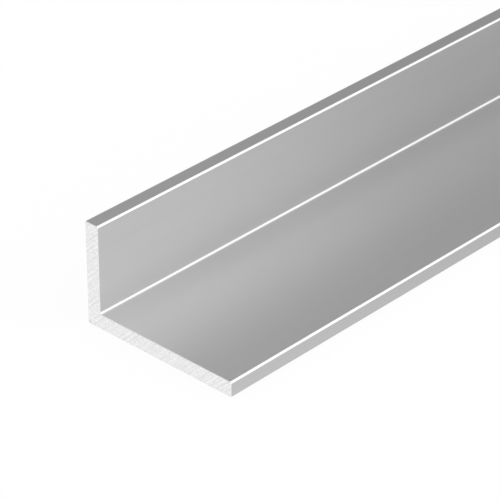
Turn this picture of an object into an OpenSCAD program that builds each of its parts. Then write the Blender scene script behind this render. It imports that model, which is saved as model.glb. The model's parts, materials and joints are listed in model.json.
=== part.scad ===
// Corner profile for an LED strip: an unequal aluminium angle, extruded in one piece and sawn square.
// The wide leg, the foot, lies flat. The narrow leg, the upright, stands along one side of it.
// Both legs meet in the heel, and the long edge where a leg ends is its toe.
// The origin is the middle of the foot's underside. +Y runs along the bar, +X goes from the heel
// to the toe of the foot, and +Z goes up the upright.

/* [Section] */
// Width of the foot, over the outside of the angle
foot_width = 25; // [15:0.5:60]
// Height of the upright, over the outside of the angle
upright_height = 15; // [10:0.5:40]
// Thickness of the foot
foot_thickness = 2.2; // [1.2:0.1:4]
// Thickness of the upright
upright_thickness = 2.2; // [1.2:0.1:4]

/* [Edges] */
// Radius of the fillet in the inside corner
fillet_radius = 0.25; // [0.1:0.05:2]
// Radius of the heel, on the outside of the corner
heel_radius = 0.3; // [0.1:0.05:1]
// Radius of each toe on the inside of the angle
toe_radius = 0.25; // [0.1:0.05:0.8]
// Radius that breaks the edge of each toe on the outside of the angle
toe_break = 0.1; // [0.05:0.05:0.3]
// Chamfer that deburring leaves round each sawn end
end_chamfer = 0.05; // [0.02:0.01:0.3]

/* [Stock] */
// Length that the bar is sawn to
bar_length = 1000; // [100:10:3000]

/* [Hidden] */
// Sides that a full circle is drawn with
$fn = 64;
// How far the fillet reaches back into both legs, so that it is one body with them
fillet_root = min(foot_thickness, upright_thickness) / 2;
// How far the metal that a rounded edge takes away reaches out past the bar
waste_margin = 1;
// Silver anodised aluminium
anodised_silver = [0.74, 0.74, 0.75];

// Extrudes a section along the bar, with the section's own y axis turned up to +Z
module along_bar(length) {
    rotate([90, 0, 0])
        linear_extrude(height = length, center = true)
            children();
}

// A rectangle centred on x and standing on y = 0, with its four corners cut off
module cut_corner_outline(length, height, cut) {
    half = length / 2;
    polygon([
        [-half, cut], [-half + cut, 0], [half - cut, 0], [half, cut],
        [half, height - cut], [half - cut, height], [-half + cut, height], [-half, height - cut]
    ]);
}

// A leg as a sawn bar with square long edges: its side view and its plan both have their ends chamfered
module leg(width, height) {
    intersection() {
        rotate([90, 0, 90])
            linear_extrude(height = width)
                cut_corner_outline(bar_length, height, end_chamfer);
        rotate([0, 0, 90])
            mirror([0, 1, 0])
                linear_extrude(height = height)
                    cut_corner_outline(bar_length, width, end_chamfer);
    }
}

// The web that rounds the inside corner, with its root inside both legs
module inside_fillet() {
    along_bar(bar_length - 2 * end_chamfer)
        translate([upright_thickness, foot_thickness])
            difference() {
                translate([-fillet_root, -fillet_root])
                    square(fillet_root + fillet_radius);
                translate([fillet_radius, fillet_radius])
                    circle(fillet_radius);
            }
}

// What rounding takes off a long edge at [x, z]. The metal lies towards +X and +Z before the turn about Y
module edge_waste(x, z, turn, radius) {
    translate([x, 0, z])
        rotate([0, turn, 0])
            along_bar(bar_length + 2 * waste_margin)
                difference() {
                    translate([-waste_margin, -waste_margin])
                        square(waste_margin + radius);
                    translate([radius, radius])
                        circle(radius);
                }
}

// The whole angle, with its heel moved to the left so that the foot is centred on the origin
module corner_profile() {
    color(anodised_silver)
        translate([-foot_width / 2, 0, 0])
            difference() {
                union() {
                    leg(foot_width, foot_thickness);
                    leg(upright_thickness, upright_height);
                    inside_fillet();
                }
                edge_waste(0, 0, 0, heel_radius);
                edge_waste(foot_width, foot_thickness, 180, toe_radius);
                edge_waste(upright_thickness, upright_height, 180, toe_radius);
                edge_waste(foot_width, 0, -90, toe_break);
                edge_waste(0, upright_height, 90, toe_break);
            }
}

corner_profile();
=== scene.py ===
import json
import math

import bmesh
import bpy
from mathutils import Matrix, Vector
from mathutils.geometry import delaunay_2d_cdt


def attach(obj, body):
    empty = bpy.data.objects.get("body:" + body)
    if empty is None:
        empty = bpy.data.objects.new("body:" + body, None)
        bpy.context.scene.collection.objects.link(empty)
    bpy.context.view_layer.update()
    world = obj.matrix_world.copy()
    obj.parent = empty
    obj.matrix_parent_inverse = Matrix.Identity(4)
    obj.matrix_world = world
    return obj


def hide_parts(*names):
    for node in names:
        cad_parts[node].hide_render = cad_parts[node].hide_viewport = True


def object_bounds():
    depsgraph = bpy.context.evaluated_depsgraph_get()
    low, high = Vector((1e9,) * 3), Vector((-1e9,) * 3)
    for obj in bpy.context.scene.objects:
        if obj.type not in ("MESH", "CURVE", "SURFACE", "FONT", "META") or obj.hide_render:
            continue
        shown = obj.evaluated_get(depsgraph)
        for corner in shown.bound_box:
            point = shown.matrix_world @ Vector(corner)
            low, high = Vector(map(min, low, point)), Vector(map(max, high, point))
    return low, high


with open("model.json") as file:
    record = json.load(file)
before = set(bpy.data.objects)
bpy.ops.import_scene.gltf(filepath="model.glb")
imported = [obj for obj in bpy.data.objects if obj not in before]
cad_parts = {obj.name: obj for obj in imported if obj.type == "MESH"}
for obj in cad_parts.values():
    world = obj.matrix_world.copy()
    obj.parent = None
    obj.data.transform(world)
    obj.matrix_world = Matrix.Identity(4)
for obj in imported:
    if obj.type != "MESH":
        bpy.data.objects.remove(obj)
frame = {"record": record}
cad_low, cad_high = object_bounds()

# Sizes and places are in metres, and a size in millimetres is written as so many MM
MM = 0.001
RIGHT_ANGLE = math.radians(90)

# Faces of the angle, from the frame
face_points = {mount["name"]: Vector(mount["pos_m"]) for mount in frame["record"]["mounts"]}
HEEL_X = cad_low.x
TOE_X = cad_high.x
UNDERSIDE_Z = cad_low.z
TOP_Z = cad_high.z
NEAR_END_Y = cad_low.y
FAR_END_Y = cad_high.y
UPRIGHT_INSIDE_X = face_points["upright_inside"].x
FOOT_INSIDE_Z = face_points["foot_inside"].z
NEAR_HEEL = Vector((HEEL_X, NEAR_END_Y, UNDERSIDE_Z))

# Small radii of the section and the chamfer round its sawn ends, as in the part's source
FILLET_RADIUS = 0.25 * MM
HEEL_RADIUS = 0.3 * MM
TOE_RADIUS = 0.25 * MM
TOE_BREAK = 0.1 * MM
END_CHAMFER = 0.05 * MM

# Finishes of the bar, in the order of its material slots
FINISHES = ["satin_face", "toe_face", "edge_wear_and_highlight", "fillet_highlight", "sawn_end"]

# Fineness of the mesh
ARC_STEPS = 14
RING_SPACING = 25 * MM
CREASE_ANGLE = math.radians(20)

# Marks of the band saw that cut the ends: straight lines that rise from the heel's side to the toe's side.
# Their relief is the sum of two waves with different pitches
SAW_MARK_SLOPE = math.radians(45)
ALONG_SAW_MARK = Vector((math.cos(SAW_MARK_SLOPE), math.sin(SAW_MARK_SLOPE)))
ACROSS_SAW_MARK = ALONG_SAW_MARK.orthogonal()
SAW_MARK_PITCH = 0.31 * MM
SAW_SECOND_PITCH = 0.47 * MM
SAW_FIRST_SHARE = 0.6
SAW_MARK_DEPTH = 0.006 * MM

# Points of the mesh on a sawn end, and how far they stay inside its outline
SAW_STEP_ACROSS = 0.06 * MM
SAW_STEP_ALONG = 0.5 * MM
SAW_MARGIN = 0.1 * MM

# The triangles of a sawn end only fill the inside of its outline
TRIANGLES_INSIDE = 1
# Two of its points that are closer than this, as a number of MM, would be taken as one
SAME_POINT = 1e-6


# Shape of the angle

def saw_mark_depth(point):
    """Depth of the saw's marks at a point of the section."""
    across = point.dot(ACROSS_SAW_MARK)
    first = math.sin(math.tau * across / SAW_MARK_PITCH)
    second = math.sin(math.tau * across / SAW_SECOND_PITCH)
    wave = SAW_FIRST_SHARE * first + (1 - SAW_FIRST_SHARE) * second
    return SAW_MARK_DEPTH * (1 + wave) / 2


def section_outline(inset):
    """Points round the section with the metal on the left, moved into the metal by inset.
    With each point comes the finish of the stretch that starts there."""
    # Each corner has its radius, the finish of its round and the finish of the face that follows
    corners = [
        (Vector((HEEL_X, UNDERSIDE_Z)), HEEL_RADIUS, "satin_face", "satin_face"),
        (Vector((TOE_X, UNDERSIDE_Z)), TOE_BREAK, "toe_face", "toe_face"),
        (Vector((TOE_X, FOOT_INSIDE_Z)), TOE_RADIUS, "edge_wear_and_highlight", "satin_face"),
        (Vector((UPRIGHT_INSIDE_X, FOOT_INSIDE_Z)), FILLET_RADIUS, "fillet_highlight", "satin_face"),
        (Vector((UPRIGHT_INSIDE_X, TOP_Z)), TOE_RADIUS, "edge_wear_and_highlight", "toe_face"),
        (Vector((HEEL_X, TOP_Z)), TOE_BREAK, "toe_face", "satin_face"),
    ]
    outline = []
    for i, (corner, radius, round_finish, face_finish) in enumerate(corners):
        arriving = (corner - corners[i - 1][0]).normalized()
        leaving = (corners[(i + 1) % len(corners)][0] - corner).normalized()
        side = math.copysign(1, arriving.cross(leaving))
        from_face = arriving.orthogonal()
        to_face = leaving.orthogonal()
        centre = corner + side * radius * (from_face + to_face)
        for step in range(ARC_STEPS + 1):
            turn = RIGHT_ANGLE * step / ARC_STEPS
            towards = from_face * math.cos(turn) + to_face * math.sin(turn)
            point = centre - (side * radius - inset) * towards
            outline.append((point, round_finish if step < ARC_STEPS else face_finish))
    return outline


def inside_a_leg(point):
    """Whether a point of the section lies well inside the foot or the upright."""
    x, z = point
    in_foot = (HEEL_X + SAW_MARGIN < x < TOE_X - SAW_MARGIN
               and UNDERSIDE_Z + SAW_MARGIN < z < FOOT_INSIDE_Z - SAW_MARGIN)
    in_upright = (HEEL_X + SAW_MARGIN < x < UPRIGHT_INSIDE_X - SAW_MARGIN
                  and UNDERSIDE_Z + SAW_MARGIN < z < TOP_Z - SAW_MARGIN)
    return in_foot or in_upright


def saw_mark_points():
    """Points of the section on the saw's marks, close together across them and further apart along them."""
    middle = Vector((HEEL_X + TOE_X, UNDERSIDE_Z + TOP_Z)) / 2
    reach = Vector((TOE_X - HEEL_X, TOP_Z - UNDERSIDE_Z)).length / 2
    steps_across = math.ceil(reach / SAW_STEP_ACROSS)
    steps_along = math.ceil(reach / SAW_STEP_ALONG)
    points = []
    for across in range(-steps_across, steps_across + 1):
        mark = middle + across * SAW_STEP_ACROSS * ACROSS_SAW_MARK
        for along in range(-steps_along, steps_along + 1):
            point = mark + along * SAW_STEP_ALONG * ALONG_SAW_MARK
            if inside_a_leg(point):
                points.append(point)
    return points


def sawn_face(mesh, ring, y, outward):
    """Closes one end of the bar with a face that carries the relief of the saw's marks.
    The face looks along Y, forwards or backwards by the sign of outward."""
    marks = saw_mark_points()
    flat = [Vector((vertex.co.x, vertex.co.z)) for vertex in ring] + marks
    in_mm = [point / MM for point in flat]
    outline = list(range(len(ring)))
    triangles = delaunay_2d_cdt(in_mm, [], [outline], TRIANGLES_INSIDE, SAME_POINT)[2]
    vertices = list(ring)
    for point in marks:
        vertices.append(mesh.verts.new((point.x, y - outward * saw_mark_depth(point), point.y)))
    for triangle in triangles:
        order = triangle if outward < 0 else reversed(triangle)
        face = mesh.faces.new([vertices[i] for i in order])
        face.material_index = FINISHES.index("sawn_end")


def ring_places():
    """Where the section's outline is repeated along the bar, with its inset there."""
    first = NEAR_END_Y + END_CHAMFER
    last = FAR_END_Y - END_CHAMFER
    stretches = round((last - first) / RING_SPACING)
    between = [(first + (last - first) * i / stretches, 0) for i in range(stretches + 1)]
    return [(NEAR_END_Y, END_CHAMFER), *between, (FAR_END_Y, END_CHAMFER)]


def corner_bar():
    """The angle as one closed mesh: faces, rounded edges, deburred ends and sawn faces."""
    mesh = bmesh.new()
    rings = []
    for y, inset in ring_places():
        outline = section_outline(inset)
        rings.append([mesh.verts.new((point.x, y, point.y)) for point, _ in outline])
    finishes = [finish for _, finish in section_outline(0)]
    last_gap = len(rings) - 2
    for gap, (ring, beyond) in enumerate(zip(rings, rings[1:])):
        deburred = gap in (0, last_gap)
        for i in range(len(ring)):
            j = (i + 1) % len(ring)
            face = mesh.faces.new((ring[i], beyond[i], beyond[j], ring[j]))
            # The chamfers round the sawn ends take the brighter edge metal, partly wear and partly painted
            # highlight
            face.material_index = FINISHES.index("edge_wear_and_highlight" if deburred else finishes[i])
    sawn_face(mesh, rings[0], NEAR_END_Y, -1)
    sawn_face(mesh, rings[-1], FAR_END_Y, 1)
    for face in mesh.faces:
        face.smooth = True
    for edge in mesh.edges:
        edge.smooth = edge.calc_face_angle() < CREASE_ANGLE
    data = bpy.data.meshes.new("corner_bar")
    mesh.to_mesh(data)
    mesh.free()
    bar = bpy.data.objects.new("corner_bar", data)
    bpy.context.scene.collection.objects.link(bar)
    weighted = bar.modifiers.new("flat_faces_stay_flat", "WEIGHTED_NORMAL")
    weighted.keep_sharp = True
    return bar


# Finishes

# Where nearly all values of a noise texture lie
NOISE_RANGE = (0.3, 0.7)

# Lines from the die, drawn out along the bar, and patches of haze, twice as long as wide
DIE_LINE_SQUEEZE = (1.0, 0.002, 1.0)
DIE_LINE_DETAIL = 3.0
HAZE_SQUEEZE = (1.0, 0.5, 1.0)
HAZE_DETAIL = 4.0

# Satin finish of the long faces, with painted shade that makes the two narrow faces of the toes a little
# darker.
# Its gleam is stretched across the bar, as on any metal with fine lines along it
WIDE_FACE_SHADE = 0.549
# Painted shade: the toe faces are a darker copy of the satin of the long faces
TOE_FACE_PAINTED_SHADE = 0.49
SATIN_SHADE_SPREAD = 0.006
SATIN_ROUGHNESS = (0.28, 0.32)
SATIN_STRETCH = 0.565
SATIN_LINE_SPACING = 0.35 * MM
SATIN_LINE_HEIGHT = 0.0004 * MM
SATIN_HAZE_PATCH = 18 * MM

# Painted shade: a slightly darker band of the satin along the corner where the legs join
PAINTED_SHADE_BAND_WIDTH = 6.6 * MM
PAINTED_SHADE_BAND_SHADE = 0.958

# Brighter metal on the rounded edges and in the fillet: on the edges partly wear and partly painted
# highlight, in the fillet painted highlight
# Painted highlight: these shades are raised so that the edges and the fillet show bright lines, on the edges
# together with wear
EDGE_WEAR_AND_HIGHLIGHT_SHADE = 0.96
FILLET_HIGHLIGHT_SHADE = 0.87
WEAR_AND_HIGHLIGHT_SHADE_SPREAD = 0.02
WEAR_AND_HIGHLIGHT_ROUGHNESS = (0.35, 0.41)
WEAR_AND_HIGHLIGHT_LINE_SPACING = 0.15 * MM
WEAR_AND_HIGHLIGHT_HAZE_PATCH = 9 * MM

# Bare metal of the sawn ends, with long streaks and short torn grains along the saw's marks
SAWN_SHADES = (0.75, 1.0)
SAWN_ROUGHNESS = (0.36, 0.46)
SAWN_GRAIN_HEIGHT = 0.002 * MM
SAWN_HAZE_PATCH = 3 * MM
SAW_STREAK_SHARE = 0.45
SAW_STREAK_DETAIL = 3.0
TORN_GRAIN_LENGTH = 0.35 * MM
TORN_GRAIN_WIDTH = 0.15 * MM
TORN_GRAIN_DETAIL = 2.0


def plain_grey(shade):
    """A colour without a hue."""
    return (shade, shade, shade, 1.0)


def new_group(name, inputs, outputs):
    """An empty node group with named number sockets. Gives back the group and its two end nodes."""
    group = bpy.data.node_groups.new(name, "ShaderNodeTree")
    for socket, value in inputs.items():
        made = group.interface.new_socket(socket, in_out="INPUT", socket_type="NodeSocketFloat")
        made.default_value = value
    for socket in outputs:
        group.interface.new_socket(socket, in_out="OUTPUT", socket_type="NodeSocketFloat")
    return group, group.nodes.new("NodeGroupInput"), group.nodes.new("NodeGroupOutput")


def use_group(tree, group, **values):
    """Places a shared effect in a material with its own values."""
    node = tree.nodes.new("ShaderNodeGroup")
    node.node_tree = group
    for socket, value in values.items():
        node.inputs[socket].default_value = value
    return node


def math_node(tree, operation, first, second):
    """A math node whose inputs are sockets or plain numbers. Gives back its output."""
    node = tree.nodes.new("ShaderNodeMath")
    node.operation = operation
    for socket, value in zip(node.inputs, (first, second)):
        if isinstance(value, bpy.types.NodeSocket):
            tree.links.new(value, socket)
        else:
            socket.default_value = value
    return node.outputs["Value"]


def own_place(tree):
    """The object's own coordinates, as one socket."""
    return tree.nodes.new("ShaderNodeTexCoord").outputs["Object"]


def split(tree, vector):
    """The X, Y and Z of a vector, as sockets."""
    node = tree.nodes.new("ShaderNodeSeparateXYZ")
    tree.links.new(vector, node.inputs["Vector"])
    return node.outputs


def remap(tree, value, given, wanted, easing="LINEAR"):
    """A value moved from its given range to a wanted one and held at both ends. Gives back its socket."""
    node = tree.nodes.new("ShaderNodeMapRange")
    node.interpolation_type = easing
    for socket, number in zip(("From Min", "From Max", "To Min", "To Max"), given + wanted):
        node.inputs[socket].default_value = number
    tree.links.new(value, node.inputs["Value"])
    return node.outputs["Result"]


def tint(tree, noise, shades):
    """A grey between two shades, by a noise. Gives back its socket."""
    ramp = tree.nodes.new("ShaderNodeValToRGB")
    for stop, position, shade in zip(ramp.color_ramp.elements, NOISE_RANGE, shades):
        stop.position = position
        stop.color = plain_grey(shade)
    tree.links.new(noise, ramp.inputs["Fac"])
    return ramp.outputs["Color"]


def roughen(tree, noise, roughness, shader):
    """Makes the surface more and less rough, by a noise."""
    tree.links.new(remap(tree, noise, NOISE_RANGE, roughness), shader.inputs["Roughness"])


def raise_by(tree, value, height, shader):
    """Gives the surface a fine relief of a height in metres."""
    bump = tree.nodes.new("ShaderNodeBump")
    bump.inputs["Distance"].default_value = height
    tree.links.new(value, bump.inputs["Height"])
    tree.links.new(bump.outputs["Normal"], shader.inputs["Normal"])


def squeezed_noise(tree, squeeze, spacing, detail):
    """Noise over the bar's own coordinates, multiplied by squeeze, with one grain for each spacing."""
    squeezed = tree.nodes.new("ShaderNodeVectorMath")
    squeezed.operation = "MULTIPLY"
    squeezed.inputs[1].default_value = squeeze
    tree.links.new(own_place(tree), squeezed.inputs[0])
    noise = tree.nodes.new("ShaderNodeTexNoise")
    noise.inputs["Detail"].default_value = detail
    tree.links.new(squeezed.outputs["Vector"], noise.inputs["Vector"])
    tree.links.new(math_node(tree, "DIVIDE", 1.0, spacing), noise.inputs["Scale"])
    return noise.outputs["Fac"]


def die_lines():
    """Fine lines along the bar that the extrusion die leaves."""
    group, entry, leave = new_group("die_lines", {"Spacing": SATIN_LINE_SPACING}, ["Line"])
    line = squeezed_noise(group, DIE_LINE_SQUEEZE, entry.outputs["Spacing"], DIE_LINE_DETAIL)
    group.links.new(line, leave.inputs["Line"])
    return group


def handling_haze():
    """Soft patches where the finish is a little duller or cleaner."""
    group, entry, leave = new_group("handling_haze", {"Patch": SATIN_HAZE_PATCH}, ["Haze"])
    haze = squeezed_noise(group, HAZE_SQUEEZE, entry.outputs["Patch"], HAZE_DETAIL)
    group.links.new(haze, leave.inputs["Haze"])
    return group


def new_material(name):
    """A material without a shader. Gives back the material, its tree and the socket for its surface."""
    material = bpy.data.materials.new(name)
    material.use_nodes = True
    tree = material.node_tree
    tree.nodes.clear()
    return material, tree, tree.nodes.new("ShaderNodeOutputMaterial").inputs["Surface"]


def metal(name):
    """A bare metal material. Gives back the material, its tree and its shader."""
    material, tree, surface = new_material(name)
    shader = tree.nodes.new("ShaderNodeBsdfPrincipled")
    shader.inputs["Metallic"].default_value = 1.0
    tree.links.new(shader.outputs["BSDF"], surface)
    return material, tree, shader


def satin_metal(name, lines, haze, shade):
    """Satin anodised aluminium. Gives back the material, its tree, its shader and the socket of its grey."""
    material, tree, shader = metal(name)
    line = use_group(tree, lines, Spacing=SATIN_LINE_SPACING).outputs["Line"]
    patch = use_group(tree, haze, Patch=SATIN_HAZE_PATCH).outputs["Haze"]
    grey = tint(tree, line, (shade - SATIN_SHADE_SPREAD, shade + SATIN_SHADE_SPREAD))
    roughen(tree, patch, SATIN_ROUGHNESS, shader)
    raise_by(tree, line, SATIN_LINE_HEIGHT, shader)
    across = tree.nodes.new("ShaderNodeTangent")
    across.direction_type = "RADIAL"
    across.axis = "Y"
    tree.links.new(across.outputs["Tangent"], shader.inputs["Tangent"])
    shader.inputs["Anisotropic"].default_value = SATIN_STRETCH
    return material, tree, shader, grey


def painted_corner_shade(tree, colour):
    """Darkens a colour along the corner where the legs join, as painted shade. Gives back its socket."""
    place = split(tree, own_place(tree))
    from_upright = math_node(tree, "SUBTRACT", place["X"], UPRIGHT_INSIDE_X)
    from_foot = math_node(tree, "SUBTRACT", place["Z"], FOOT_INSIDE_Z)
    from_corner = math_node(tree, "MAXIMUM", from_upright, from_foot)
    darkened = tree.nodes.new("ShaderNodeVectorMath")
    darkened.operation = "SCALE"
    tree.links.new(colour, darkened.inputs["Vector"])
    # Painted shade: the colour grows darker towards the corner where the legs join
    shade = remap(tree, from_corner, (0.0, PAINTED_SHADE_BAND_WIDTH), (PAINTED_SHADE_BAND_SHADE, 1.0), "SMOOTHSTEP")
    tree.links.new(shade, darkened.inputs["Scale"])
    return darkened.outputs["Vector"]


def satin_face(lines, haze):
    """The wide faces of both legs, with painted shade that darkens them along their corner."""
    material, tree, shader, grey = satin_metal("satin_face", lines, haze, WIDE_FACE_SHADE)
    # Painted shade along the corner where the legs join
    tree.links.new(painted_corner_shade(tree, grey), shader.inputs["Base Color"])
    return material


def toe_face(lines, haze):
    """The narrow faces of both toes, a darker copy of the satin as painted shade."""
    material, tree, shader, grey = satin_metal("toe_face", lines, haze, TOE_FACE_PAINTED_SHADE)
    # Painted shade: the darker grey of the toe faces
    tree.links.new(grey, shader.inputs["Base Color"])
    return material


def worn_and_highlight_metal(name, lines, haze, shade):
    """Metal brighter than the faces: on the edges partly rubbed by handling and partly painted highlight, in
    the fillet painted highlight.
    """
    material, tree, shader = metal(name)
    line = use_group(tree, lines, Spacing=WEAR_AND_HIGHLIGHT_LINE_SPACING).outputs["Line"]
    patch = use_group(tree, haze, Patch=WEAR_AND_HIGHLIGHT_HAZE_PATCH).outputs["Haze"]
    # Painted highlight, and on the edges partly wear: a brighter grey than the faces
    grey = tint(tree, line, (shade - WEAR_AND_HIGHLIGHT_SHADE_SPREAD, shade + WEAR_AND_HIGHLIGHT_SHADE_SPREAD))
    tree.links.new(grey, shader.inputs["Base Color"])
    roughen(tree, patch, WEAR_AND_HIGHLIGHT_ROUGHNESS, shader)
    return material


def along_saw_marks(tree, length, width):
    """The bar's own coordinates turned to the saw's marks: X in lengths along, Z in widths across."""
    turned = tree.nodes.new("ShaderNodeMapping")
    turned.vector_type = "TEXTURE"
    turned.inputs["Rotation"].default_value = (0.0, -SAW_MARK_SLOPE, 0.0)
    turned.inputs["Scale"].default_value = (length, 1.0, width)
    tree.links.new(own_place(tree), turned.inputs["Vector"])
    return turned.outputs["Vector"]


def saw_streaks(tree):
    """Light and dark streaks that run right across the section."""
    across = split(tree, along_saw_marks(tree, SAW_MARK_PITCH, SAW_MARK_PITCH))["Z"]
    streak = tree.nodes.new("ShaderNodeTexNoise")
    streak.noise_dimensions = "1D"
    streak.inputs["Scale"].default_value = 1.0
    streak.inputs["Detail"].default_value = SAW_STREAK_DETAIL
    tree.links.new(across, streak.inputs["W"])
    return streak.outputs["Fac"]


def torn_grains(tree):
    """Short grains where the saw's teeth tore the metal."""
    grain = tree.nodes.new("ShaderNodeTexNoise")
    grain.inputs["Scale"].default_value = 1.0
    grain.inputs["Detail"].default_value = TORN_GRAIN_DETAIL
    tree.links.new(along_saw_marks(tree, TORN_GRAIN_LENGTH, TORN_GRAIN_WIDTH), grain.inputs["Vector"])
    return grain.outputs["Fac"]


def sawn_end(haze):
    """Bare aluminium as the saw left it."""
    material, tree, shader = metal("sawn_end")
    streak = math_node(tree, "MULTIPLY", saw_streaks(tree), SAW_STREAK_SHARE)
    grain = math_node(tree, "MULTIPLY", torn_grains(tree), 1.0 - SAW_STREAK_SHARE)
    sawn = math_node(tree, "ADD", streak, grain)
    patch = use_group(tree, haze, Patch=SAWN_HAZE_PATCH).outputs["Haze"]
    tree.links.new(tint(tree, sawn, SAWN_SHADES), shader.inputs["Base Color"])
    roughen(tree, patch, SAWN_ROUGHNESS, shader)
    raise_by(tree, sawn, SAWN_GRAIN_HEIGHT, shader)
    return material


# Studio

# Camera, where the photograph was taken from. Its lens and its sensor are given in millimetres
CAMERA_FROM_HEEL = Vector((221.72, -206.93, 192.51)) * MM
CAMERA_TURN = math.radians(43.090)
CAMERA_DIP = math.radians(30.990)
CAMERA_LENS = 202.55
CAMERA_SENSOR = 36.0
CAMERA_NEAREST = 0.01
CAMERA_FURTHEST = 100.0

# Floor and even light. The floor shows white apart from a share that keeps the shadow
FLOOR_GAP = 0.02 * MM
FLOOR_SIZE = 60.0
FLOOR_SHADE = 0.92
BACKDROP_SHARE = 0.93
SKY_LIGHT = 1.0

# Soft lamp up and behind on the right, turned to the near end. Its places are measured from the heel there
SOFTBOX_FROM_HEEL = Vector((349, 253, 271)) * MM
SOFTBOX_AIM = Vector((47, -56, 5)) * MM
SOFTBOX_SIZE = (219 * MM, 280 * MM)
SOFTBOX_RADIANCE = 1.42

# Grey wall on the left, darker towards the far end. Its place is measured from the heel at the near end
GREY_WALL_X = -350 * MM
GREY_WALL_LENGTH = 3.0
GREY_WALL_HEIGHT = 0.9
GREY_WALL_LIFT = 40 * MM
GREY_WALL_FADE = (350 * MM, 500 * MM)
GREY_WALL_SHADES = (0.62, 0.508)

# Card on the floor along the toe of the foot, brightest at the near end
FLOOR_CARD_WIDTH = 60 * MM
FLOOR_CARD_FADE = (0.0, 60 * MM)
FLOOR_CARD_SHADES = (1.07, 0.89)


def camera():
    """The camera that takes the photograph's view."""
    data = bpy.data.cameras.new("camera")
    data.lens = CAMERA_LENS
    data.sensor_width = CAMERA_SENSOR
    data.clip_start = CAMERA_NEAREST
    data.clip_end = CAMERA_FURTHEST
    made = bpy.data.objects.new("camera", data)
    made.location = NEAR_HEEL + CAMERA_FROM_HEEL
    made.rotation_euler = (RIGHT_ANGLE - CAMERA_DIP, 0.0, CAMERA_TURN)
    bpy.context.scene.collection.objects.link(made)
    bpy.context.scene.camera = made


def rectangle(name, corners, material):
    """A flat sheet of the studio between four corners."""
    data = bpy.data.meshes.new(name)
    data.from_pydata(corners, [], [tuple(range(len(corners)))])
    data.materials.append(material)
    made = bpy.data.objects.new(name, data)
    bpy.context.scene.collection.objects.link(made)
    return made


def backdrop_rays(tree):
    """One where the backdrop shows, to the camera or in metal and glass, and zero elsewhere."""
    path = tree.nodes.new("ShaderNodeLightPath")
    shown = math_node(tree, "MAXIMUM", path.outputs["Is Camera Ray"], path.outputs["Is Glossy Ray"])
    return math_node(tree, "MAXIMUM", shown, path.outputs["Is Transmission Ray"])


def pale_floor():
    """A matt pale surface that shows almost white. Gives back the material."""
    material, tree, surface = new_material("pale_floor")
    matt = tree.nodes.new("ShaderNodeBsdfDiffuse")
    matt.inputs["Color"].default_value = plain_grey(FLOOR_SHADE)
    white = tree.nodes.new("ShaderNodeEmission")
    mixed = tree.nodes.new("ShaderNodeMixShader")
    tree.links.new(math_node(tree, "MULTIPLY", backdrop_rays(tree), BACKDROP_SHARE), mixed.inputs["Fac"])
    tree.links.new(matt.outputs["BSDF"], mixed.inputs[1])
    tree.links.new(white.outputs["Emission"], mixed.inputs[2])
    tree.links.new(mixed.outputs["Shader"], surface)
    return material


def floor():
    """A floor that keeps a soft shadow."""
    reach = FLOOR_SIZE / 2
    z = UNDERSIDE_Z - FLOOR_GAP
    corners = [(-reach, -reach, z), (reach, -reach, z), (reach, reach, z), (-reach, reach, z)]
    rectangle("floor", corners, pale_floor())


def fading_grey(name, fade, shades):
    """A grey that changes along the bar, over a fade measured from the near end.
    Gives back the material."""
    material, tree, surface = new_material(name)
    grey = tree.nodes.new("ShaderNodeEmission")
    along_bar = split(tree, own_place(tree))["Y"]
    span = tuple(NEAR_END_Y + distance for distance in fade)
    tree.links.new(remap(tree, along_bar, span, shades), grey.inputs["Strength"])
    tree.links.new(grey.outputs["Emission"], surface)
    return material


def reflected_sheet(name, corners, fade, shades):
    """A sheet that only the metal reflects."""
    made = rectangle(name, corners, fading_grey(name, fade, shades))
    made.visible_camera = False
    made.visible_diffuse = False
    made.visible_shadow = False


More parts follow.
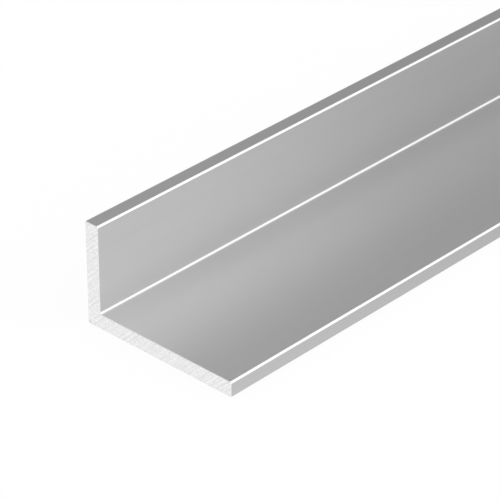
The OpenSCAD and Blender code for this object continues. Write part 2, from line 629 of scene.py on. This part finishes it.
def grey_wall():
    """A wall that the top face and the outer half of the foot reflect."""
    low = UNDERSIDE_Z + GREY_WALL_LIFT
    high = low + GREY_WALL_HEIGHT
    near = -GREY_WALL_LENGTH / 2
    far = GREY_WALL_LENGTH / 2
    x = HEEL_X + GREY_WALL_X
    corners = [(x, near, low), (x, far, low), (x, far, high), (x, near, high)]
    reflected_sheet("grey_wall", corners, GREY_WALL_FADE, GREY_WALL_SHADES)


def floor_card():
    """A card on the floor that the toe of the foot reflects."""
    right = TOE_X + FLOOR_CARD_WIDTH
    z = UNDERSIDE_Z - FLOOR_GAP / 2
    corners = [(TOE_X, NEAR_END_Y, z), (right, NEAR_END_Y, z), (right, FAR_END_Y, z), (TOE_X, FAR_END_Y, z)]
    reflected_sheet("floor_card", corners, FLOOR_CARD_FADE, FLOOR_CARD_SHADES)


def softbox():
    """A soft flat lamp with the power that its radiance takes."""
    data = bpy.data.lights.new("softbox", "AREA")
    data.shape = "RECTANGLE"
    data.size, data.size_y = SOFTBOX_SIZE
    data.energy = SOFTBOX_RADIANCE * math.pi * data.size * data.size_y
    made = bpy.data.objects.new("softbox", data)
    made.location = NEAR_HEEL + SOFTBOX_FROM_HEEL
    made.rotation_euler = (SOFTBOX_AIM - SOFTBOX_FROM_HEEL).to_track_quat("-Z", "Y").to_euler()
    bpy.context.scene.collection.objects.link(made)


def sky():
    """Even white light from all round."""
    world = bpy.data.worlds.new("sky")
    bpy.context.scene.world = world
    world.use_nodes = True
    background = world.node_tree.nodes["Background"]
    background.inputs["Color"].default_value = plain_grey(1.0)
    background.inputs["Strength"].default_value = SKY_LIGHT


lines = die_lines()
haze = handling_haze()
materials = {
    "satin_face": satin_face(lines, haze),
    "toe_face": toe_face(lines, haze),
    # Edges and fillet: brighter metal, partly painted highlight
    "edge_wear_and_highlight": worn_and_highlight_metal("edge_wear_and_highlight", lines, haze, EDGE_WEAR_AND_HIGHLIGHT_SHADE),
    "fillet_highlight": worn_and_highlight_metal("fillet_highlight", lines, haze, FILLET_HIGHLIGHT_SHADE),
    "sawn_end": sawn_end(haze),
}
bar = corner_bar()
for finish in FINISHES:
    bar.data.materials.append(materials[finish])
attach(bar, "root")
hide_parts("corner_profile")

camera()
floor()
grey_wall()
floor_card()
softbox()
sky()
bpy.context.scene.view_settings.view_transform = "Standard"
